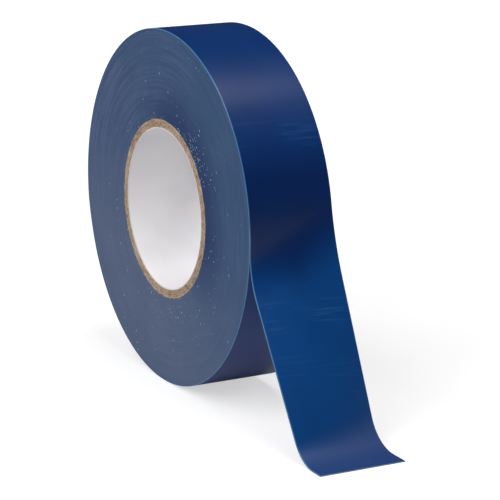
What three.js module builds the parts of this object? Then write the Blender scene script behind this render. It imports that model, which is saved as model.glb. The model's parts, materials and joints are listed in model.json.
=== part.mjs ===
// Roll of vinyl electrical tape, standing on its rim with its loose end hanging to the floor.
// Units are millimetres and +Z is up. The roll's axis runs along Y, and the loose end is on the +X side.
// The origin is the middle of the small flat where the rim rests, straight under the axis at mid width.
//
// The strip is film outside and adhesive inside. It is wound on a laminated board core, its last turn
// is made as separate pieces, and its loose end is a chain of short links, joined by hinges along Y.
import * as THREE from 'three';

// ---- driving dimensions ----
const tapeWidth = 19.05;
const filmThickness = 0.13;
const adhesiveThickness = 0.05;
const layerGap = 0.02;            // clear space that keeps two stacked layers separate solids

const woundRadius = 38.14;        // under the part of the last turn that ends at the peel line
const facets = 72;                // sides of every round outline; one side is centred at the bottom
const peelAngle = 7.5;            // degrees above +X at which the strip leaves the roll
const rampStart = 180;            // degrees past the peel line where the turn climbs over its own start
const rampSweep = 10;

const coreInnerRadius = 17.24;
const coreOuterRadius = 19.2;
const linerThickness = 0.2;
const boardPlies = 4;

const arcSweep = 30;              // degrees of the last turn in each piece that can be lifted
const liftArcs = 2;
const tailLinks = 5;
const linkGap = 0.3;              // clear space across each hinge line

const leanRadius = 50;            // the strip bends away from the roll on this radius
const leanAngle = 30;             // until it leans this many degrees from the vertical
const footRadius = 9.5;           // then it flares out on this radius
const footLength = 3.4;             // and its last stretch lies flat on the floor

// ---- values worked out from them ----
const radians = THREE.MathUtils.degToRad;
const facetAngle = 360 / facets;
const turnPitch = 2 * layerGap + filmThickness + adhesiveThickness;
const axisHeight = woundRadius * Math.cos(radians(facetAngle / 2));
const facetLength = woundRadius * radians(facetAngle);

// ---- materials ----
function material(color, roughness) {
  return new THREE.MeshStandardMaterial({ color, roughness, metalness: 0 });
}

const filmBlue = () => material(0x12357e, 0.28);
const adhesiveBlue = () => material(0x14213f, 0.45);
const woundBlue = () => material(0x2a4672, 0.6);
const kraftBoard = () => material(0xa98a62, 0.9);
const whitePaper = () => material(0xe9e7e1, 0.85);

// ---- outlines in the X-Z plane, drawn about the roll's axis ----
function polar(radius, degrees) {
  const angle = radians(degrees);
  return new THREE.Vector2(radius * Math.cos(angle), radius * Math.sin(angle));
}

function circle(radius) {
  return Array.from({ length: facets }, (_, i) => polar(radius, peelAngle + i * facetAngle));
}

// Radius of the surface that the last turn lies on, by degrees past the peel line.
function seatRadius(sweep) {
  const climbed = THREE.MathUtils.clamp((sweep - rampStart) / rampSweep, 0, 1);
  return woundRadius - turnPitch * climbed;
}

// The tail as stretches of constant bend. Each ends with the strip's outer face turned to `endAngle`.
const peelHeight = axisHeight + woundRadius * Math.sin(radians(peelAngle));
const leanDrop = leanRadius * (Math.sin(radians(leanAngle)) - Math.sin(radians(peelAngle)));
const footDrop = footRadius * (1 - Math.sin(radians(leanAngle)));
const straightLength = (peelHeight + layerGap - leanDrop - footDrop) / Math.cos(radians(leanAngle));
const tailStretches = [
  { length: leanRadius * radians(leanAngle - peelAngle), endAngle: leanAngle },
  { length: straightLength, endAngle: leanAngle },
  { length: footRadius * radians(90 - leanAngle), endAngle: 90 },
  { length: footLength, endAngle: 90 },
];
const tailLength = tailStretches.reduce((sum, stretch) => sum + stretch.length, 0);

// Point at a distance along the strip: negative on the roll, zero at the peel line, positive down the
// tail. `offset` is measured outward from the face that the strip was stuck to.
function stripPoint(distance, offset) {
  if (distance <= 0) {
    const sweep = THREE.MathUtils.radToDeg(-distance / woundRadius);
    return polar(seatRadius(sweep) + offset, peelAngle + sweep);
  }
  const point = polar(woundRadius, peelAngle);
  let angle = radians(peelAngle);
  let left = distance;
  for (const { length, endAngle } of tailStretches) {
    const run = Math.min(left, length);
    const turn = (radians(endAngle) - angle) * (run / length);
    if (turn === 0) {
      point.x += run * Math.sin(angle);
      point.y -= run * Math.cos(angle);
    } else {
      const radius = run / turn;
      point.x += radius * (Math.cos(angle) - Math.cos(angle + turn));
      point.y += radius * (Math.sin(angle) - Math.sin(angle + turn));
      angle += turn;
    }
    left -= run;
    if (left <= 0) {
      break;
    }
  }
  point.x += offset * Math.cos(angle);
  point.y += offset * Math.sin(angle);
  return point;
}

// Closed outline of one layer of the strip between two distances along it.
function layerOutline(from, to, innerOffset, thickness, step) {
  const stations = [from];
  for (let k = Math.ceil(from / step); k * step < to; k += 1) {
    if (k * step > from) {
      stations.push(k * step);
    }
  }
  stations.push(to);
  const inner = stations.map((station) => stripPoint(station, innerOffset));
  const outer = stations.map((station) => stripPoint(station, innerOffset + thickness));
  return [...inner, ...outer.reverse()];
}

// ---- solids ----
function addSolid(group, name, outline, hole, surface) {
  const shape = new THREE.Shape(outline);
  if (hole) {
    shape.holes.push(new THREE.Path(hole));
  }
  const geometry = new THREE.ExtrudeGeometry(shape, { depth: tapeWidth, bevelEnabled: false });
  geometry.rotateX(Math.PI / 2);
  geometry.translate(0, tapeWidth / 2, axisHeight);
  const mesh = new THREE.Mesh(geometry, surface);
  mesh.name = name;
  group.add(mesh);
}

function addStripPiece(group, name, from, to, step) {
  const filmOffset = 2 * layerGap + adhesiveThickness;
  const adhesive = layerOutline(from, to, layerGap, adhesiveThickness, step);
  const film = layerOutline(from, to, filmOffset, filmThickness, step);
  addSolid(group, `${name}_adhesive`, adhesive, null, adhesiveBlue());
  addSolid(group, `${name}_film`, film, null, filmBlue());
}

// The core: a white paper liner in the bore, with board plies laminated over it.
function addCore(group) {
  const plyPitch = (coreOuterRadius - coreInnerRadius - linerThickness) / boardPlies;
  const boardInnerRadius = coreInnerRadius + linerThickness;
  addSolid(group, 'core_liner', circle(boardInnerRadius), circle(coreInnerRadius), whitePaper());
  for (let ply = 1; ply <= boardPlies; ply += 1) {
    const outer = circle(boardInnerRadius + ply * plyPitch);
    const inner = circle(boardInnerRadius + (ply - 1) * plyPitch + layerGap);
    addSolid(group, `core_ply_${ply}`, outer, inner, kraftBoard());
  }
}

// All the turns under the last one, wound solid, with the step that the strip climbs at the peel line.
function addWoundTape(group) {
  const outline = [];
  for (let i = 0; i <= facets; i += 1) {
    outline.push(polar(seatRadius(i * facetAngle), peelAngle + i * facetAngle));
  }
  addSolid(group, 'wound_tape', outline, circle(coreOuterRadius + layerGap), woundBlue());
}

// The last turn: most of it is stuck down, and its final arcs can be lifted.
function addLastTurn(group) {
  const arcLength = woundRadius * radians(arcSweep);
  const turnStart = linkGap - woundRadius * 2 * Math.PI;
  const stuckEnd = -liftArcs * arcLength - linkGap / 2;
  addStripPiece(group, 'last_turn', turnStart, stuckEnd, facetLength);
  for (let arc = liftArcs; arc >= 1; arc -= 1) {
    const from = -arc * arcLength + linkGap / 2;
    addStripPiece(group, `lift_arc_${arc}`, from, from + arcLength - linkGap, facetLength);
  }
}

// The tail: equal links from the peel line to the cut end.
function addTail(group) {
  const linkLength = tailLength / tailLinks;
  for (let link = 1; link <= tailLinks; link += 1) {
    const from = (link - 1) * linkLength + linkGap / 2;
    const to = link * linkLength - (link < tailLinks ? linkGap / 2 : 0);
    addStripPiece(group, `tail_${link}`, from, to, linkLength / 8);
  }
}

const roll = new THREE.Group();
addCore(roll);
addWoundTape(roll);
addLastTurn(roll);
addTail(roll);

export default roll;
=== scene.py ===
"""Looks of a roll of blue vinyl electrical tape that stands on its rim, its loose end reaching the floor.

Everything is in metres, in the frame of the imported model: X towards the loose end, Y along the roll's axis,
Z up. The strip is laid out by its run: the distance along it from the peel line, negative on the roll.
The strip's materials read the run and the place across it from the UV map, in millimetres. The roll's read
the place on the object, as a radius and a direction from the axis.
"""
import json
import math
import random

import bpy
import numpy as np
from mathutils import Matrix, Vector

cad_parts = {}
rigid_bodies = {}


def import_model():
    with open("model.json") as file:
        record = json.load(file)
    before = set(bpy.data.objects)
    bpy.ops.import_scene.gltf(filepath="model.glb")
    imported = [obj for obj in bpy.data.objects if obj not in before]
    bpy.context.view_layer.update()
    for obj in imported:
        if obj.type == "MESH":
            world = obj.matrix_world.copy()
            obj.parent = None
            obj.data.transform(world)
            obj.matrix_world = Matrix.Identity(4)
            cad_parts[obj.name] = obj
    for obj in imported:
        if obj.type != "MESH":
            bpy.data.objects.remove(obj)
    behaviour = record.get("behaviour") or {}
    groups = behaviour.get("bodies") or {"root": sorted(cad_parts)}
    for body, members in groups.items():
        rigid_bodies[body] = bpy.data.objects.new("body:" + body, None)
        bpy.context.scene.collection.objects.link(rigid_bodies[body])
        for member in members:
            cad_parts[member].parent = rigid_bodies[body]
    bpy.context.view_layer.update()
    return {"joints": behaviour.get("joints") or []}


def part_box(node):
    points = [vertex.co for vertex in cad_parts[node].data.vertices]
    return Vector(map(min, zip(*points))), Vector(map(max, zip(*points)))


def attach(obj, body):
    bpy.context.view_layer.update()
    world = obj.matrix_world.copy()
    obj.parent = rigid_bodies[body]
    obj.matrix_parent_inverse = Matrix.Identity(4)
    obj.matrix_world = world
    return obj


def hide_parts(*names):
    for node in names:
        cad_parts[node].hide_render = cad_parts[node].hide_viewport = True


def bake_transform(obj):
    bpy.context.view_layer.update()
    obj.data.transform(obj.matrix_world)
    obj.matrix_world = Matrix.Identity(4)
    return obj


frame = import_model()

MM = 0.001
SEED = 71

# ---- sizes of the roll, in metres ----
SEAT_RADIUS = 38.14 * MM          # of the surface that the end of the last turn lies on
STRIP_PITCH = 0.22 * MM           # how much one turn adds to the radius, with the gaps between layers
ADHESIVE_LAYER = (0.006 * MM, 0.075 * MM)
FILM_LAYER = (0.080 * MM, 0.220 * MM)
PEEL_ANGLE = math.radians(7.5)
RAMP_START = math.radians(180)
RAMP_SWEEP = math.radians(10)
CORE_INNER = 17.24 * MM
CORE_OUTER = 19.20 * MM
LINER = 0.20 * MM
PLIES = 4

# ---- runs along the strip, in metres from the peel line ----
FREE_RUN = 55.94 * MM                               # the cut end
FIXED_SWEEP = math.radians(75)
FIXED_RUN = -SEAT_RADIUS * FIXED_SWEEP              # the strip's cut pieces start here, on the part that stays down
ARC_RUN = SEAT_RADIUS * math.radians(30)            # length of each arc that can be lifted
TURN_START = 0.3 * MM - SEAT_RADIUS * math.tau      # just short of a whole turn

# ---- the tail's course: (front edge, rear edge), because the strip hangs with a slight twist ----
PEEL_DEG = (-0.5, 11.3)
LEAN_BEND = (1 / 17.5, 1 / 60)    # per mm
LEAN_DEG = (33.8, 25.7)
FOOT_RADIUS = (8.45 * MM, 9.3 * MM)
END_X = (67.0 * MM, 67.4 * MM)

# ---- small reliefs and clearances, in metres ----
UNEVENNESS = 0.008 * MM           # of the film
EDGE_ROUNDING = 0.16 * MM         # width of the film's rounded edge
EDGE_FALL = 0.035 * MM
RELIEF = 0.0016 * MM              # of the rings of cut edges, for each wave in them
RELIEF_WAVES = 16
TURNS_INSET = 0.03 * MM           # the wound turns' sides lie this far inside the last turn's edges
CORE_INSET = 0.02 * MM
CORE_GAP = 0.02 * MM              # between the core and the wound turns
PLY_GAP = 0.015 * MM
SAW_RATES = (3, 7, 13, 29, 41, 67, 89, 113, 151)    # waves per turn in the core's sawn edge

# ---- loose fibres on each side face ----
FUZZ_PER_SIDE = 170
LINT_PER_SIDE = 210
LINT_GATHERED = 90                # of these, the ones in a patch near the core

# ---- how finely the meshes are cut, and where the rings lie in the UV map ----
SIDE_RINGS = 130
ROLL_COLUMNS = 240
CORE_COLUMNS = 480
EVEN_PLACES = 17                  # across the strip, between the closer places at its edges
EVEN_MARGIN = 0.4 * MM            # from each edge to the first of them
STUCK_STEP = 0.8 * MM
LOOSE_STEP = 0.45 * MM
STEP_SWEEP = 1e-4                 # the step at the peel line is this narrow, in radians
RING_RUN_MM = -240.0              # behind every run of the strip, where the film gets the painted floor light
RING_MM_PER_RADIAN = 38.0

# ---- places read from the frame ----
liner_low, liner_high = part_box("core_liner")
AXIS_Z = (liner_low.z + liner_high.z) / 2
HALF_WIDTH = (liner_high.y - liner_low.y) / 2
EDGE = HALF_WIDTH / MM            # the strip's edge, in millimetres, as the materials read it
JOINTS = {joint["name"]: joint for joint in frame["joints"]}
HINGES = {name: Vector(joint["pos_m"]) for name, joint in JOINTS.items()}


# ---------------------------------------------------------------- node materials
class Nodes:
    """A material's node tree with short helpers. Most of them return the output socket of what they add."""

    def __init__(self, name):
        self.material = bpy.data.materials.new(name)
        self.material.use_nodes = True
        self.tree = self.material.node_tree
        self.tree.nodes.clear()
        output = self.tree.nodes.new("ShaderNodeOutputMaterial")
        self.shader = self.tree.nodes.new("ShaderNodeBsdfPrincipled")
        self.tree.links.new(self.shader.outputs["BSDF"], output.inputs["Surface"])

    def add(self, kind, **settings):
        node = self.tree.nodes.new(kind)
        for key, value in settings.items():
            setattr(node, key, value)
        return node

    def put(self, socket, value):
        """Links another node's output to a socket, or sets the socket to a plain value."""
        if isinstance(value, bpy.types.NodeSocket):
            self.tree.links.new(value, socket)
        else:
            socket.default_value = value

    def uv(self):
        """The mesh's UV map: on the strip, the run and the place across it, in millimetres."""
        return self.add("ShaderNodeUVMap", uv_map="mm").outputs["UV"]

    def place(self):
        """The place on the object, in metres."""
        return self.add("ShaderNodeTexCoord").outputs["Object"]

    def run_and_across(self, uv):
        node = self.add("ShaderNodeSeparateXYZ")
        self.put(node.inputs[0], uv)
        return node.outputs[0], node.outputs[1]

    def on_strip(self, uv, per_run, per_width, detail=2.0, rough=0.5):
        """Noise with its own number of features per millimetre along the strip and across it."""
        node = self.add("ShaderNodeMapping")
        self.put(node.inputs["Vector"], uv)
        node.inputs["Scale"].default_value = (per_run, per_width, 1.0)
        return self.noise(node.outputs["Vector"], 1.0, detail, rough)

    def round_the_axis(self):
        """(radius in mm, unit vector away from the axis, place along the axis in mm), with no seam."""
        node = self.add("ShaderNodeMapping")
        self.put(node.inputs["Vector"], self.place())
        node.inputs["Location"].default_value = (0.0, 0.0, -AXIS_Z / MM)
        node.inputs["Scale"].default_value = (1 / MM, 1 / MM, 1 / MM)
        parts = self.add("ShaderNodeSeparateXYZ")
        self.put(parts.inputs[0], node.outputs["Vector"])
        flat = self.add("ShaderNodeCombineXYZ")
        self.put(flat.inputs["X"], parts.outputs["X"])
        self.put(flat.inputs["Z"], parts.outputs["Z"])
        length = self.add("ShaderNodeVectorMath", operation="LENGTH")
        self.put(length.inputs[0], flat.outputs["Vector"])
        away = self.add("ShaderNodeVectorMath", operation="NORMALIZE")
        self.put(away.inputs[0], flat.outputs["Vector"])
        return length.outputs["Value"], away.outputs["Vector"], parts.outputs["Y"]

    def rings(self, radius, away, per_turn, per_mm, detail=2.0, rough=0.5):
        """Noise drawn out round the axis: coarse along the rings, fine across them."""
        turned = self.add("ShaderNodeVectorMath", operation="SCALE")
        self.put(turned.inputs[0], away)
        turned.inputs["Scale"].default_value = per_turn
        out = self.add("ShaderNodeCombineXYZ")
        self.put(out.inputs["Y"], self.times(radius, per_mm))
        place = self.add("ShaderNodeVectorMath", operation="ADD")
        self.put(place.inputs[0], turned.outputs["Vector"])
        self.put(place.inputs[1], out.outputs["Vector"])
        return self.noise(place.outputs["Vector"], 1.0, detail, rough)

    def toward(self, away, direction, low, high):
        """1 where the unit vector points along a direction, 0 where it doesn't."""
        dot = self.add("ShaderNodeVectorMath", operation="DOT_PRODUCT")
        self.put(dot.inputs[0], away)
        dot.inputs[1].default_value = direction
        return self.ramp(dot.outputs["Value"], low, high)

    def noise(self, vector, scale, detail=2.0, rough=0.5):
        node = self.add("ShaderNodeTexNoise")
        self.put(node.inputs["Vector"], vector)
        node.inputs["Scale"].default_value = scale
        node.inputs["Detail"].default_value = detail
        node.inputs["Roughness"].default_value = rough
        return node.outputs["Fac"]

    def math(self, operation, a, b=0.0):
        node = self.add("ShaderNodeMath", operation=operation)
        self.put(node.inputs[0], a)
        self.put(node.inputs[1], b)
        return node.outputs[0]

    def plus(self, a, b):
        return self.math("ADD", a, b)

    def times(self, a, b):
        return self.math("MULTIPLY", a, b)

    def larger(self, a, b):
        return self.math("MAXIMUM", a, b)

    def size_of(self, value):
        return self.math("ABSOLUTE", value)

    def ramp(self, value, low, high, to_low=0.0, to_high=1.0):
        """A smooth step from one level to another as the value goes from low to high."""
        node = self.add("ShaderNodeMapRange", interpolation_type="SMOOTHSTEP")
        self.put(node.inputs["Value"], value)
        for key, number in (("From Min", low), ("From Max", high), ("To Min", to_low), ("To Max", to_high)):
            node.inputs[key].default_value = number
        return node.outputs["Result"]

    def mix(self, share, a, b):
        node = self.add("ShaderNodeMix", data_type="RGBA")
        self.put(node.inputs["Factor"], share)
        self.put(node.inputs["A"], a)
        self.put(node.inputs["B"], b)
        return node.outputs["Result"]

    def bump(self, height, strength, distance):
        node = self.add("ShaderNodeBump")
        self.put(node.inputs["Height"], height)
        node.inputs["Strength"].default_value = strength
        node.inputs["Distance"].default_value = distance
        self.tree.links.new(node.outputs["Normal"], self.shader.inputs["Normal"])

    def surface(self, color, roughness, specular):
        self.put(self.shader.inputs["Base Color"], color)
        self.put(self.shader.inputs["Roughness"], roughness)
        self.shader.inputs["Specular IOR Level"].default_value = specular
        return self.material


def rgb(red, green, blue):
    """A linear colour for a shader from display values of 0 to 255."""
    values = [component / 255 for component in (red, green, blue)]
    linear = [v / 12.92 if v <= 0.04045 else ((v + 0.055) / 1.055) ** 2.4 for v in values]
    return (*linear, 1.0)


def toned(color, tone):
    """The same colour, made darker by a factor."""
    return (*(component * tone for component in color[:3]), 1.0)


# ---------------------------------------------------------------- the looks of each material
def film_color(n, uv, foot):
    """Deep navy where the film is wound, with painted light and shade: brighter where one layer hangs free,
    darker just before the peel line, greyer on the foot as a painted sheen, greyer and lighter from the
    lowest line round to the tail as painted floor light, lighter at the rims as a painted highlight.
    """
    run, across = n.run_and_across(uv)
    cloud = n.ramp(n.on_strip(uv, 0.05, 0.11, 3.0), 0.3, 0.7)
    wound = n.mix(cloud, rgb(0, 42, 97), rgb(1, 46, 103))
    # Painted light: the brighter blue of the layer that hangs free.
    loose = n.mix(cloud, rgb(0, 57, 114), rgb(1, 60, 119))
    # Painted shade: the wound film turns darker just before the peel line.
    painted_shade_before_peel = n.ramp(run, -18.0, -8.0, 0.0, 0.75)
    color = n.mix(painted_shade_before_peel, wound, rgb(0, 29, 78))
    # Painted light: the free layer is coloured brighter, standing in for light that comes through it, from
    # its edges first.
    earlier_at_edges = n.plus(n.times(n.size_of(across), 0.53), n.times(across, 0.22))
    color = n.mix(n.ramp(n.plus(run, earlier_at_edges), 5.5, 18.5), color, loose)
    # Painted sheen: the foot is coloured a greyer blue.
    color = n.mix(n.times(foot, 0.75), color, rgb(30, 54, 106))
    # Painted floor light: from the lowest line round to the tail, and on the wound turns' rim, the film is
    # coloured a greyer, lighter blue.
    painted_floor_light = n.ramp(run, -186.0, -170.0, 0.8, 0.0)
    color = n.mix(painted_floor_light, color, rgb(62, 80, 138))
    # Painted highlight: the film turns light teal close to its edges, strongly at the front one.
    front_rim_highlight = n.ramp(across, 0.24 - EDGE, 0.06 - EDGE, 0.0, 0.55)
    rear_rim_highlight = n.ramp(across, EDGE - 0.16, EDGE - 0.04, 0.0, 0.15)
    return n.mix(n.plus(front_rim_highlight, rear_rim_highlight), color, rgb(76, 132, 172))


def chatter_bands(n, uv):
    """Where the film was stretched in fine lines across it: in two bands, and faintly here and there."""
    run, _ = n.run_and_across(uv)
    on_tail = n.ramp(n.size_of(n.math("SUBTRACT", run, 19.4)), 1.2, 4.2, 1.0, 0.0)
    on_roll = n.ramp(n.size_of(n.plus(run, 17.5)), 1.0, 4.5, 0.7, 0.0)
    elsewhere = n.ramp(n.on_strip(uv, 0.045, 0.02, 0.0), 0.56, 0.72, 0.0, 0.35)
    return n.larger(n.larger(on_tail, on_roll), elsewhere)


def film_material():
    """Glossy calendered vinyl, with a fine grain, a slow swell and a few bands of stretch lines."""
    n = Nodes("vinyl_film")
    uv = n.uv()
    run, across = n.run_and_across(uv)
    # The foot near the cut end: it gets a painted sheen in its colour, and a higher roughness.
    foot = n.ramp(n.plus(run, n.times(across, 0.3)), 41.0, 50.0)
    lines = n.on_strip(uv, 1.9, 0.09, 2.0, 0.6)
    bands = chatter_bands(n, uv)
    pulled = n.times(n.ramp(lines, 0.5, 0.72, 0.0, 0.2), bands)
    color = n.mix(pulled, film_color(n, uv, foot), rgb(60, 116, 170))
    grain = n.on_strip(uv, 1.4, 1.4, 3.0, 0.6)
    swell = n.on_strip(uv, 0.10, 0.07, 1.0)
    relief = n.plus(n.times(n.times(lines, bands), 0.22), n.times(grain, 0.05))
    n.bump(n.plus(relief, swell), 0.35, 0.12 * MM)
    duller = n.plus(n.times(grain, 0.08), n.times(foot, 0.22))
    return n.surface(color, n.plus(duller, 0.29), 0.35)


def film_edge_material():
    """The cut edge of the film, light teal blue with streaks along it: a painted highlight for the thin lit
    line at the roll's rim.
    """
    n = Nodes("vinyl_cut_edge")
    streak = n.on_strip(n.uv(), 0.8, 6.0, 3.0)
    return n.surface(n.mix(streak, rgb(52, 108, 158), rgb(120, 170, 205)), 0.5, 0.4)


def adhesive_material():
    """Pressure-sensitive adhesive on the strip's inner face: darker, soft and slightly uneven."""
    n = Nodes("adhesive_coat")
    uv = n.uv()
    patch = n.on_strip(uv, 0.12, 0.2, 4.0, 0.6)
    streak = n.on_strip(uv, 0.15, 2.4, 2.0)
    n.bump(n.plus(patch, n.times(streak, 0.5)), 0.4, 0.08 * MM)
    color = n.mix(n.ramp(patch, 0.3, 0.7), rgb(10, 40, 92), rgb(22, 62, 124))
    return n.surface(color, n.ramp(streak, 0.2, 0.8, 0.34, 0.5), 0.5)


def wound_edge_material():
    """The side of the wound turns: over a hundred cut film edges, matte slate blue, with rings and flecks,
    and painted light and shade: darker towards the tail and near the core's upper right, lighter towards the
    bottom.
    """
    n = Nodes("wound_film_edges")
    radius, away, _ = n.round_the_axis()
    fine = n.rings(radius, away, 2.2, 2.6, 2.0)
    broad = n.rings(radius, away, 1.8, 0.8, 2.0)
    cloudy = n.rings(radius, away, 2.6, 0.10, 3.0)
    turns = n.plus(n.times(fine, 0.7), n.times(broad, 0.3))
    color = n.mix(n.ramp(turns, 0.34, 0.66), rgb(48, 67, 103), rgb(66, 86, 121))
    color = n.mix(n.ramp(cloudy, 0.35, 0.7, 0.0, 0.5), color, rgb(46, 72, 105))
    # Painted shade: the side face is coloured darker and bluer towards the tail.
    painted_shade_to_tail = n.toward(away, (0.98, 0.0, 0.2), -0.3, 0.8)
    color = n.mix(n.times(painted_shade_to_tail, 0.5), color, rgb(36, 70, 106))
    # Painted light: the side face is coloured lighter and greyer towards the bottom, where the floor throws
    # light up.
    painted_light_below = n.toward(away, (-0.35, 0.0, -0.94), -0.35, 0.95)
    color = n.mix(n.times(painted_light_below, 0.5), color, rgb(92, 102, 126))
    # Painted shade: deep navy near the core's upper right.
    near_core = n.ramp(radius, 19.5, 30.0, 1.0, 0.0)
    painted_shade_upper_side = n.toward(away, (0.83, 0.0, 0.56), -0.1, 0.85)
    color = n.mix(n.times(n.times(near_core, painted_shade_upper_side), 0.85), color, rgb(16, 42, 88))
    color = n.mix(n.times(flecks(n), 0.6), color, rgb(96, 168, 176))
    n.bump(turns, 0.35, 0.08 * MM)
    return n.surface(color, n.ramp(cloudy, 0.2, 0.8, 0.55, 0.68), 0.3)


def flecks(n):
    """Small round dots, thinned out by a coarser noise."""
    place = n.place()
    cells = n.add("ShaderNodeTexVoronoi", feature="F1")
    n.put(cells.inputs["Vector"], place)
    cells.inputs["Scale"].default_value = 620.0
    dot = n.ramp(cells.outputs["Distance"], 0.05, 0.12, 1.0, 0.0)
    sparse = n.ramp(n.noise(place, 420.0, 0.0), 0.58, 0.66)
    return n.times(dot, sparse)


def board_material(shade):
    """Grey-brown board seen on its sawn edge: long fibres along the ply, darker and lighter."""
    n = Nodes(f"core_board_{shade}")
    radius, away, _ = n.round_the_axis()
    fibre = n.rings(radius, away, 22.0, 5.0, 4.0, 0.7)
    patch = n.rings(radius, away, 6.0, 0.9, 2.0)
    tone = 1.0 - 0.06 * shade
    light = toned(rgb(198, 174, 150), tone)
    dark = toned(rgb(112, 88, 70), tone)
    color = n.mix(n.ramp(fibre, 0.34, 0.66), dark, light)
    color = n.mix(n.ramp(patch, 0.4, 0.7, 0.0, 0.35), color, rgb(196, 180, 166))
    n.bump(fibre, 0.9, 0.25 * MM)
    return n.surface(color, 0.92, 0.2)


def paper_material():
    """The white paper liner in the bore, dusty from the board at both rims."""
    n = Nodes("white_liner_paper")
    _, _, across = n.round_the_axis()
    place = n.place()
    tooth = n.noise(place, 1600.0, 4.0, 0.6)
    cloud = n.noise(place, 90.0, 2.0)
    n.bump(tooth, 0.25, 0.06 * MM)
    color = n.mix(n.ramp(cloud, 0.3, 0.7), rgb(236, 234, 237), rgb(243, 241, 243))
    dusty = n.ramp(n.size_of(across), EDGE - 0.25, EDGE - 0.05, 0.0, 0.5)
    color = n.mix(dusty, color, rgb(184, 166, 150))
    return n.surface(color, 0.85, 0.25)


def lint_material(name, dark, light):
    """Loose fibres, each a slightly different shade."""
    n = Nodes(name)
    tone = n.on_strip(n.uv(), 0.7, 0.7, 1.0)
    return n.surface(n.mix(n.ramp(tone, 0.3, 0.7), dark, light), 0.8, 0.3)


# ---------------------------------------------------------------- meshes
def make_mesh(name, points, faces, point_uv, materials, face_slots=None, sharp_deg=35.0):
    """A shaded mesh object. point_uv holds one (u, v) for each point."""
    mesh = bpy.data.meshes.new(name)
    mesh.from_pydata([tuple(p) for p in points], [], faces)
    layer = mesh.uv_layers.new(name="mm")
    corner_points = np.zeros(len(mesh.loops), np.int32)
    mesh.loops.foreach_get("vertex_index", corner_points)
    layer.data.foreach_set("uv", np.asarray(point_uv, np.float32)[corner_points].ravel())
    for material in materials:
        mesh.materials.append(material)
    if face_slots is not None:
        mesh.polygons.foreach_set("material_index", np.asarray(face_slots, np.int32))
    mesh.shade_smooth()
    mesh.set_sharp_from_angle(angle=math.radians(sharp_deg))
    mesh.update()
    obj = bpy.data.objects.new(name, mesh)
    bpy.context.scene.collection.objects.link(obj)
    return obj


def polar(radius, angle, y):
    """A point by its radius and angle about the roll's axis, with the angle from X towards Z."""
    return np.array([radius * math.cos(angle), y, AXIS_Z + radius * math.sin(angle)])


def seat_radius(sweep):
    """Radius of the surface under the last turn, by the angle past the peel line."""
    climbed = min(max((sweep - RAMP_START) / RAMP_SWEEP, 0.0), 1.0)
    return SEAT_RADIUS - STRIP_PITCH * climbed


class Course:
    """The line that the strip's inner face follows, at a place across it: from -1, front, to 1, rear."""

    def __init__(self, place):
        share = (place + 1) / 2

        def between(pair):
            return pair[0] + (pair[1] - pair[0]) * share

        peel = math.radians(between(PEEL_DEG))
        lean = math.radians(between(LEAN_DEG))
        bend_radius = MM / between(LEAN_BEND)
        foot_radius = between(FOOT_RADIUS)
        height = AXIS_Z + SEAT_RADIUS * math.sin(peel)
        drop = bend_radius * (math.sin(lean) - math.sin(peel)) + foot_radius * (1 - math.sin(lean))
        straight = (height - drop) / math.cos(lean)
        foot_x = (SEAT_RADIUS * math.cos(peel) + bend_radius * (math.cos(peel) - math.cos(lean))
                  + straight * math.sin(lean) + foot_radius * math.cos(lean))
        self.start = FIXED_SWEEP + PEEL_ANGLE
        # Each stretch is (length, radius): negative on the roll, and None where the strip runs straight.
        self.stretches = [
            (SEAT_RADIUS * (self.start - peel), -SEAT_RADIUS),
            (bend_radius * (lean - peel), bend_radius),
            (straight, None),
            (foot_radius * (math.pi / 2 - lean), foot_radius),
            (between(END_X) - foot_x, None),
        ]
        self.length = sum(length for length, _ in self.stretches)

    def at(self, run):
        """(x, z, angle that the outer face is turned to) at a run past FIXED_RUN."""
        left = (run - FIXED_RUN) / (FREE_RUN - FIXED_RUN) * self.length
        angle = self.start
        x, z = SEAT_RADIUS * math.cos(angle), AXIS_Z + SEAT_RADIUS * math.sin(angle)
        for length, radius in self.stretches:
            step = min(left, length)
            if radius is None:
                x += step * math.sin(angle)
                z -= step * math.cos(angle)
            else:
                turned = angle + step / radius
                x += radius * (math.cos(angle) - math.cos(turned))
                z += radius * (math.sin(angle) - math.sin(turned))
                angle = turned
            left -= step
            if left <= 0:
                break
        return x, z, angle


def wave_height(run, y):
    """The film's slight unevenness, in metres, always outward."""
    long_wave = math.sin(run / (6.1 * MM) + 0.8 + y / (9.0 * MM))
    short_wave = math.sin(run / (2.7 * MM) - y / (5.3 * MM) + 2.1)
    return UNEVENNESS * (1 + 0.7 * long_wave + 0.3 * short_wave)


def strip_places():
    """Places across the strip, closer together at its edges, with how far the rounded edge falls away."""
    inner = np.linspace(-HALF_WIDTH + EVEN_MARGIN, HALF_WIDTH - EVEN_MARGIN, EVEN_PLACES)
    edge = np.array([0.0, 0.03, 0.08, 0.16]) * MM
    places = np.concatenate([-HALF_WIDTH + edge, inner, HALF_WIDTH - edge[::-1]])
    falls = [EDGE_FALL * max(0.0, 1 - (HALF_WIDTH - abs(y)) / EDGE_ROUNDING) ** 2 for y in places]
    return places, falls


PLACES, EDGE_FALLS = strip_places()
COURSES = [Course(y / HALF_WIDTH) for y in PLACES]


def loose_point(column, run, offset):
    """A point of the part of the strip that can be lifted or hangs free."""
    x, z, angle = COURSES[column].at(run)
    return np.array([x + offset * math.cos(angle), PLACES[column], z + offset * math.sin(angle)])


def stuck_point(column, run, offset):
    """A point of the part of the last turn that stays down."""
    sweep = -run / SEAT_RADIUS
    return polar(seat_radius(sweep) + offset, PEEL_ANGLE + sweep, PLACES[column])


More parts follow.
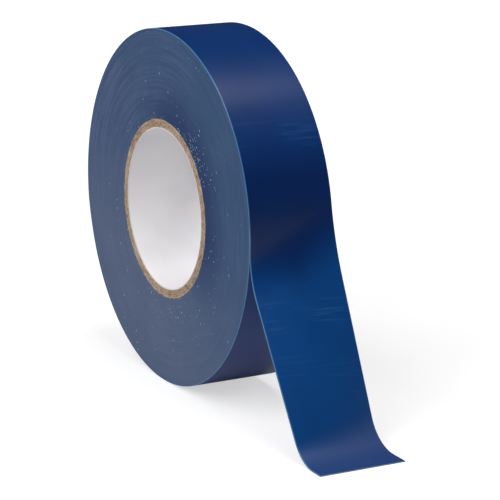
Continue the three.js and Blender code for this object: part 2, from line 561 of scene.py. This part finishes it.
def strip_mesh(name, layer, start, end, step, point_at, face_material, edge_material):
    """One layer of the strip between two runs, as a closed thin solid."""
    runs = np.linspace(start, end, max(2, round((end - start) / step)) + 1)
    rows, width = len(runs), len(PLACES)
    sheet = rows * width
    points, uv = [], []
    for outer in (False, True):
        for run in runs:
            for column in range(width):
                offset = layer[1] - EDGE_FALLS[column] if outer else layer[0]
                swell = wave_height(run, PLACES[column])
                points.append(point_at(column, run, offset + swell))
                uv.append((run / MM, PLACES[column] / MM))

    def index(outer, row, column):
        return outer * sheet + row * width + column

    faces, slots = [], []

    def add_wall(row, column, next_row, next_column, flip):
        """Joins the inner face to the outer one between two neighbours on the rim."""
        wall = (index(0, row, column), index(0, next_row, next_column),
                index(1, next_row, next_column), index(1, row, column))
        faces.append(wall[::-1] if flip else wall)
        slots.append(1)

    for row in range(rows - 1):
        for column in range(width - 1):
            a, b = index(0, row, column), index(0, row, column + 1)
            c, d = index(0, row + 1, column + 1), index(0, row + 1, column)
            faces.append((a, b, c, d))
            faces.append((d + sheet, c + sheet, b + sheet, a + sheet))
            slots += [0, 0]
    for row in range(rows - 1):
        for column, flip in ((0, False), (width - 1, True)):
            add_wall(row, column, row + 1, column, flip)
    for row, flip in ((0, True), (rows - 1, False)):
        for column in range(width - 1):
            add_wall(row, column, row, column + 1, flip)
    return make_mesh(name, points, faces, uv, [face_material, edge_material], slots)


def ring_mesh(name, profile, columns, material_list, slots_of, inner_radius, outer_radius_at):
    """A closed ring. profile goes all the way round its section.

    Each of its points is (share from the inner to the outer radius, y by the angle past the peel line, uv v).
    outer_radius_at gives the outer radius by the same angle, and slots_of the material slot of each face.
    """
    points, uv = [], []
    for column in range(columns + 1):
        sweep = math.tau * column / columns if column < columns else math.tau - STEP_SWEEP
        outer = outer_radius_at(sweep)
        for share, y_at, v in profile:
            radius = inner_radius + (outer - inner_radius) * share
            points.append(polar(radius, PEEL_ANGLE + sweep, y_at(sweep)))
            uv.append((RING_RUN_MM - RING_MM_PER_RADIAN * sweep, v))
    size = len(profile)
    faces, slots = [], []
    for column in range(columns + 1):
        here, there = column * size, ((column + 1) % (columns + 1)) * size
        for k in range(size):
            after = (k + 1) % size
            faces.append((here + k, here + after, there + after, there + k))
            slots.append(slots_of(k))
    return make_mesh(name, points, faces, uv, material_list, slots)


# ---------------------------------------------------------------- the roll's pieces
def ring_relief(seed):
    """How far each ring of cut edges stands proud, in metres, by share of the radius and angle."""
    dice = random.Random(seed)
    waves = []
    for _ in range(RELIEF_WAVES):
        rate, phase = dice.uniform(14, 160), dice.uniform(0, math.tau)
        waves.append((rate, phase, dice.choice((0, 0, 1, 1, 2, 3)), dice.uniform(0.3, 1)))

    def height(share, sweep):
        total = sum(size * math.sin(rate * share + phase + turns * sweep)
                    for rate, phase, turns, size in waves)
        return RELIEF * total

    return height


def add_wound_tape(edge_material, film):
    """All the turns under the last one, with the relief of their cut edges on both sides."""
    shares = [k / SIDE_RINGS for k in range(SIDE_RINGS + 1)]
    profile = []
    for side, relief in ((-1, ring_relief(SEED)), (1, ring_relief(SEED + 1))):
        ordered = shares if side < 0 else shares[::-1]
        for share in ordered:
            calm = min(1.0, 8 * share, 8 * (1 - share))    # the relief dies away at the core and at the rim

            def depth(sweep, share=share, side=side, relief=relief, calm=calm):
                return side * (HALF_WIDTH - TURNS_INSET + calm * relief(share, sweep))

            profile.append((share, depth, side * EDGE))

    def slots_of(k):
        """The rim, between the outermost points of the two sides, shows film. The rest shows cut edges."""
        return 1 if k == SIDE_RINGS else 0

    ring = ring_mesh("wound_turns", profile, ROLL_COLUMNS, [edge_material, film], slots_of,
                     CORE_OUTER + CORE_GAP, seat_radius)
    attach(ring, "roll")
    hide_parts("wound_tape")


def core_layers():
    """The core's layers: mesh name, CAD piece, radii, material, slot, steps across, and mm of saw marks."""
    pitch = (CORE_OUTER - CORE_INNER - LINER) / PLIES
    layers = [("core_paper", "core_liner", CORE_INNER, CORE_INNER + LINER,
               paper_material(), "paper", 2, 0.012)]
    for ply in range(PLIES):
        inner = CORE_INNER + LINER + ply * pitch
        layers.append((f"core_board_{ply + 1}", f"core_ply_{ply + 1}", inner + PLY_GAP, inner + pitch,
                       board_material(ply % 3), "board", 5, 0.07))
    return layers


def saw_wobble(sweep, phases):
    """A sum of waves round the core, weaker where they are finer."""
    return sum(math.sin(rate * sweep + phase) / (1 + 0.004 * rate * rate) ** 0.25
               for rate, phase in zip(SAW_RATES, phases))


def add_core():
    """Paper liner and board plies, with the rough edge that the slitting saw leaves."""
    dice = random.Random(SEED + 5)
    for name, node, inner, outer, material, slot, steps, rough in core_layers():
        phases = [[dice.uniform(0, math.tau) for _ in SAW_RATES] for _ in range(2 * steps + 2)]
        profile = []
        for side in (-1, 1):
            for k in range(steps + 1):
                share = k / steps if side < 0 else 1 - k / steps
                phase = phases[(k if side < 0 else steps + 1 + k)]
                edge = 0.35 if k in (0, steps) else 1.0

                def depth(sweep, side=side, phase=phase, edge=edge, rough=rough):
                    wobble = saw_wobble(sweep, phase)
                    return side * (HALF_WIDTH - CORE_INSET + edge * rough * MM * wobble / 3)

                profile.append((share, depth, (inner + (outer - inner) * share) / MM))
        ring = ring_mesh(name, profile, CORE_COLUMNS, [material], lambda k: 0, inner,
                         lambda sweep, outer=outer: outer)
        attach(ring, "roll")
        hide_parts(node)


# The strip's meshes: name, run at the far end, the joint that goes with it, and the CAD pieces it stands for.
# Each mesh ends where its neighbour goes on.
STRIP = [
    ("arc_2", -ARC_RUN, "lift_arc_2_peel", ("last_turn", "lift_arc_2")),
    ("arc_1", 0.0, "lift_arc_1_peel", ("lift_arc_1",)),
    ("peel", 6.7 * MM, "tail_peel", ("tail_1",)),
    ("tail_a", 16.8 * MM, "tail_bend_1", ("tail_1", "tail_2")),
    ("tail_b", 28.0 * MM, "tail_bend_2", ("tail_2", "tail_3")),
    ("tail_c", 39.2 * MM, "tail_bend_3", ("tail_3", "tail_4")),
    ("tail_d", FREE_RUN, "tail_bend_4", ("tail_4", "tail_5")),
]
# How far a bend reaches before and after its hinge, in mm.
BEND_REACH = {"lift_arc_2_peel": (0.0, 19.6), "lift_arc_1_peel": (0.0, 19.6), "tail_peel": (0.0, 6.3)}
USUAL_REACH = (4.2, 4.2)


def bend_line(joint):
    """Start and end points of a joint's bend: along the strip, from before the hinge to after it."""
    before, after = BEND_REACH.get(joint["name"], USUAL_REACH)
    hinge = HINGES[joint["name"]]
    names = list(HINGES)
    position = names.index(joint["name"])
    ahead = HINGES[names[position + 1]] if position + 1 < len(names) else Vector((END_X[0], 0, 0))
    along = (ahead - hinge).normalized()
    return hinge - along * before * MM, hinge + along * after * MM


def add_strip(film, cut, adhesive):
    """The last turn and the tail: a film layer over an adhesive layer, each cut where the joints are."""
    layers = (("film", FILM_LAYER, film, cut), ("adhesive", ADHESIVE_LAYER, adhesive, adhesive))
    for kind, layer, face_material, edge_material in layers:
        stuck = strip_mesh(f"last_turn_{kind}_stuck", layer, TURN_START, FIXED_RUN, STUCK_STEP, stuck_point,
                           face_material, edge_material)
        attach(stuck, "roll")
        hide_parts(f"last_turn_{kind}")
        start = FIXED_RUN
        for name, end, joint_name, nodes in STRIP:
            piece = strip_mesh(f"{name}_{kind}", layer, start, end, LOOSE_STEP, loose_point,
                               face_material, edge_material)
            joint = JOINTS[joint_name]
            joint["parent"]
            joint["child"]
            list(bend_line(joint))
            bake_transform(piece)
            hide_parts(*[f"{node}_{kind}" for node in nodes])
            start = end


def fibre_mesh(name, fibres, material):
    """Many short tapered fibres in one mesh. Each is (points, radius)."""
    points, uv, faces = [], [], []
    for path, radius in fibres:
        base = len(points)
        last = len(path) - 1
        for k, centre in enumerate(path):
            along = path[min(k + 1, last)] - path[max(k - 1, 0)]
            side = np.cross(along, (0.0, 1.0, 0.0))
            side /= np.linalg.norm(side)
            rise = np.cross(side, along)
            rise /= np.linalg.norm(rise)
            size = radius * (1 - 0.7 * abs(2 * k / last - 1) ** 2)
            for corner in range(4):
                turn = math.pi / 2 * corner
                points.append(centre + size * (math.cos(turn) * side + math.sin(turn) * rise))
                uv.append((base * 0.37 + k, corner))    # far from the other fibres, for a shade of its own
        for k in range(last):
            for corner in range(4):
                a, b = base + 4 * k + corner, base + 4 * k + (corner + 1) % 4
                faces.append((a, b, b + 4, a + 4))
        faces.append(tuple(base + corner for corner in (3, 2, 1, 0)))
        faces.append(tuple(base + 4 * last + corner for corner in (0, 1, 2, 3)))
    return make_mesh(name, points, faces, uv, [material], sharp_deg=80.0)


def face_fibre(dice, radius, angle, heading, length, side, lift):
    """A fibre that lies on a side face, in polar coordinates about the roll's axis, curling slightly."""
    curl = dice.uniform(-0.9, 0.9)
    path = []
    for k in range(5):
        share = k / 4
        away = length * share
        bend = heading + curl * share
        r = radius + away * math.cos(bend)
        a = angle + away * math.sin(bend) / radius
        path.append(polar(r, a, side * (HALF_WIDTH + lift * (0.35 + math.sin(math.pi * share)))))
    return path


def near_or_anywhere(dice, middle, spread):
    """An angle in degrees: half the time near a middle, half the time anywhere round the roll."""
    return dice.choice((dice.gauss(middle, spread), dice.uniform(0, 360)))


def core_fuzz(dice, side):
    """Board fibres on one side of the core's rim, half of them gathered near its lowest part."""
    fuzz = []
    for _ in range(FUZZ_PER_SIDE):
        angle = math.radians(near_or_anywhere(dice, 270, 45))
        start = CORE_OUTER - dice.uniform(0.1, 0.5) * MM
        path = face_fibre(dice, start, angle, dice.uniform(-0.9, 0.9), dice.uniform(0.35, 1.0) * MM, side,
                          0.05 * MM)
        fuzz.append((path, dice.uniform(0.012, 0.03) * MM))
    return fuzz


def slitting_lint(dice, side):
    """Lint on one side face: the first fibres lie in a patch close to the core, the others are scattered."""
    lint = []
    for k in range(LINT_PER_SIDE):
        gathered = k < LINT_GATHERED
        degrees = dice.gauss(45, 15) if gathered else near_or_anywhere(dice, 300, 50)
        away = abs(dice.gauss(0, 2.6 if gathered else 8.0)) * MM
        radius = CORE_OUTER + away + 0.3 * MM
        if radius > SEAT_RADIUS - 1 * MM:
            continue
        path = face_fibre(dice, radius, math.radians(degrees), dice.uniform(0, math.tau),
                          dice.uniform(0.1, 0.6) * MM, side, 0.04 * MM)
        lint.append((path, dice.uniform(0.015, 0.05) * MM))
    return lint


def add_lint():
    """Board fuzz round the core's rim, and whitish slitting lint on the side faces."""
    dice = random.Random(SEED + 9)
    fuzz, lint = [], []
    for side in (-1, 1):
        fuzz += core_fuzz(dice, side)
        lint += slitting_lint(dice, side)
    for name, fibres, material in (
        ("core_edge_fuzz", fuzz, lint_material("board_fuzz", rgb(150, 130, 110), rgb(200, 190, 175))),
        ("slitting_lint", lint, lint_material("pale_lint", rgb(120, 165, 190), rgb(215, 225, 232))),
    ):
        piece = fibre_mesh(name, fibres, material)
        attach(piece, "roll")


# ---------------------------------------------------------------- camera, floor and light
CAMERA_AZIMUTH = math.radians(61.09)          # from the front, where -Y is, towards the loose end
CAMERA_ELEVATION = math.radians(14.85)
CAMERA_ROLL = math.radians(0.59)
CAMERA_DISTANCE = 0.434
CAMERA_TARGET = Vector((38.32 * MM, -HALF_WIDTH, AXIS_Z + 0.03 * MM))
LENS_MM = 157.85
SENSOR_MM = 36.0
FLOOR_HALF = 6.0
FLOOR_DROP = 0.05 * MM                        # keeps the floor clear of the roll's lowest line
AMBIENT = 0.04                                # the world's strength as a light
LIT_PLACE = Vector((0.01, 0.0, AXIS_Z))       # all the lights face this place
LIGHTS = [                                    # name, direction, distance, (width, height), radiance
    ("top_softbox", (0.20, 0.47, 0.86), 0.7, (0.44, 0.36), 0.10),
    ("overhead_key", (0.16, 0.11, 0.98), 1.2, (0.8, 0.44), 6.4),
    ("front_key", (-0.04, -0.66, 0.75), 1.4, (1.5, 1.1), 2.5),
    ("front_fill", (0.40, -0.80, 0.44), 1.4, (1.2, 0.6), 4.3),
    ("rear_fill", (0.0, 0.95, 0.31), 1.4, (1.1, 0.6), 2.3),
]


def add_camera():
    """A long lens from the front and the right, slightly above the roll's axis and turned by a small roll."""
    level_share = math.cos(CAMERA_ELEVATION)
    back = Vector((math.sin(CAMERA_AZIMUTH) * level_share, -math.cos(CAMERA_AZIMUTH) * level_share,
                   math.sin(CAMERA_ELEVATION)))
    level = Vector((math.cos(CAMERA_AZIMUTH), math.sin(CAMERA_AZIMUTH), 0))
    right = level * math.cos(CAMERA_ROLL) + back.cross(level) * math.sin(CAMERA_ROLL)
    up = back.cross(right)
    data = bpy.data.cameras.new("camera")
    data.lens = LENS_MM
    data.sensor_width = SENSOR_MM
    data.clip_start, data.clip_end = 0.01, 50.0
    camera = bpy.data.objects.new("camera", data)
    turn = Matrix((right, up, back)).transposed().to_4x4()
    camera.matrix_world = Matrix.Translation(CAMERA_TARGET + back * CAMERA_DISTANCE) @ turn
    bpy.context.scene.collection.objects.link(camera)
    bpy.context.scene.camera = camera


def floor_material():
    """A pale floor that glows for the camera only, more so far away, so that the background stays white."""
    n = Nodes("pale_floor")
    place = n.place()
    tone = n.noise(place, 3.0, 2.0)
    seen = n.add("ShaderNodeLightPath").outputs["Is Camera Ray"]
    far = n.add("ShaderNodeVectorMath", operation="LENGTH")
    n.put(far.inputs[0], place)
    glow = n.ramp(far.outputs["Value"], 0.08, 0.9, 0.56, 1.0)
    n.shader.inputs["Emission Color"].default_value = (1.0, 1.0, 1.0, 1.0)
    n.put(n.shader.inputs["Emission Strength"], n.times(seen, glow))
    return n.surface(n.mix(tone, rgb(187, 187, 188), rgb(190, 190, 191)), 0.9, 0.0)


def add_floor():
    corners = [(-FLOOR_HALF, -FLOOR_HALF, 0), (FLOOR_HALF, -FLOOR_HALF, 0),
               (FLOOR_HALF, FLOOR_HALF, 0), (-FLOOR_HALF, FLOOR_HALF, 0)]
    mesh = bpy.data.meshes.new("floor")
    mesh.from_pydata(corners, [], [(0, 1, 2, 3)])
    mesh.materials.append(floor_material())
    floor = bpy.data.objects.new("floor", mesh)
    floor.location.z = -FLOOR_DROP
    bpy.context.scene.collection.objects.link(floor)


def add_light(name, direction, distance, size, radiance):
    data = bpy.data.lights.new(name, "AREA")
    data.shape = "RECTANGLE"
    data.size, data.size_y = size
    data.energy = radiance * math.pi * size[0] * size[1]
    light = bpy.data.objects.new(name, data)
    light.location = LIT_PLACE + Vector(direction) * distance
    light.rotation_mode = "QUATERNION"
    light.rotation_quaternion = (LIT_PLACE - light.location).to_track_quat("-Z", "Y")
    bpy.context.scene.collection.objects.link(light)


def add_surroundings():
    """A white world: bright to the camera, and faint as a light."""
    world = bpy.data.worlds.new("studio")
    world.use_nodes = True
    sky = world.node_tree.nodes["Background"]
    sky.inputs["Color"].default_value = (1.0, 1.0, 1.0, 1.0)
    seen = world.node_tree.nodes.new("ShaderNodeLightPath").outputs["Is Camera Ray"]
    level = world.node_tree.nodes.new("ShaderNodeMapRange")
    level.inputs["To Min"].default_value = AMBIENT
    level.inputs["To Max"].default_value = 1.0
    world.node_tree.links.new(seen, level.inputs["Value"])
    world.node_tree.links.new(level.outputs["Result"], sky.inputs["Strength"])
    bpy.context.scene.world = world


bpy.context.scene.view_settings.view_transform = "Standard"
add_camera()
add_floor()
for light_settings in LIGHTS:
    add_light(*light_settings)
add_surroundings()

film_look = film_material()
add_wound_tape(wound_edge_material(), film_look)
add_core()
add_strip(film_look, film_edge_material(), adhesive_material())
add_lint()
